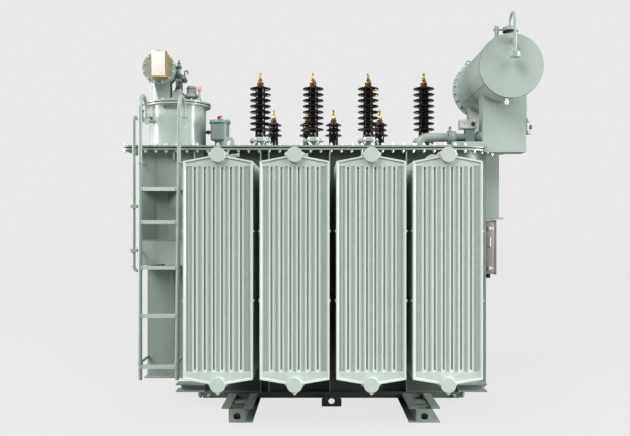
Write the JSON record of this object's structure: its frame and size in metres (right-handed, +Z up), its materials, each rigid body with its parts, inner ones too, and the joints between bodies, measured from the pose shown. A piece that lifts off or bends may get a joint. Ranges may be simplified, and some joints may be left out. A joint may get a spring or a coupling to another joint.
{
  "type": "oil-filled power transformer",
  "caption": "Ground-standing oil-filled power transformer with plate radiators on both long sides, bushings, a tap changer head, a ladder and an oil conservator.",
  "frame": {"origin": "on the ground at the middle of the overall length and depth", "axes": "+X along the tank towards the large conservator, +Y to the back, +Z up"},
  "size_m": [3.564, 2.804, 3.322],
  "materials": {
    "grey_green_paint": "satin",
    "blue_grey_paint": "satin",
    "brown_porcelain": "gloss glaze",
    "brass": "polished",
    "black_rubber": "matte",
    "white_gauge": "gloss",
    "red_plastic": "satin",
    "stainless": "brushed"
  },
  "bodies": {
    "root": {"tank_body": "grey_green_paint", "tank_base": "grey_green_paint", "tank_skirt": "grey_green_paint", "tank_rim": "grey_green_paint", "cover_gasket": "black_rubber", "tank_cover": "grey_green_paint", "wall_ribs": "grey_green_paint", "pocket_upper": "grey_green_paint", "pocket_middle": "grey_green_paint", "pocket_belt": "grey_green_paint", "pocket_lower": "grey_green_paint", "feet": "grey_green_paint", "pulling_lugs": "grey_green_paint", "jacking_brackets": "grey_green_paint", "radiators_front": "grey_green_paint", "radiators_back": "grey_green_paint", "radiator_valves": "grey_green_paint", "hv_turrets": "grey_green_paint", "hv_insulators": "brown_porcelain", "hv_terminals": "brass", "lv_seats": "grey_green_paint", "lv_insulators": "brown_porcelain", "lv_terminals": "brass", "tap_changer_head": "grey_green_paint", "tap_changer_lid": "grey_green_paint", "tap_changer_dome": "grey_green_paint", "tap_changer_vent": "grey_green_paint", "tap_changer_drive": "grey_green_paint", "small_drum_shell": "grey_green_paint", "small_drum_front": "grey_green_paint", "small_drum_bracket": "grey_green_paint", "small_drum_gauge": "white_gauge", "flow_relay_line": "grey_green_paint", "drain_pipe": "grey_green_paint", "drain_pipe_clamps": "grey_green_paint", "ladder_stiles": "grey_green_paint", "ladder_rungs": "grey_green_paint", "ladder_brackets": "grey_green_paint", "relief_valve": "blue_grey_paint", "relief_valve_pin": "red_plastic", "lifting_lugs": "grey_green_paint", "oil_pipe": "grey_green_paint", "gas_relay": "blue_grey_paint", "gas_relay_head": "blue_grey_paint", "conservator_feed_pipe": "grey_green_paint", "conservator_shell": "grey_green_paint", "conservator_front_end": "grey_green_paint", "conservator_back_end": "grey_green_paint", "conservator_bracket_front": "grey_green_paint", "conservator_beam_front": "grey_green_paint", "conservator_bracket_back": "grey_green_paint", "conservator_column": "grey_green_paint", "vent_pipe": "grey_green_paint", "conservator_drain": "grey_green_paint", "conservator_fittings": "grey_green_paint", "terminal_box": "stainless", "terminal_box_door": "stainless", "terminal_box_glands": "black_rubber"}
  },
  "joints": []
}
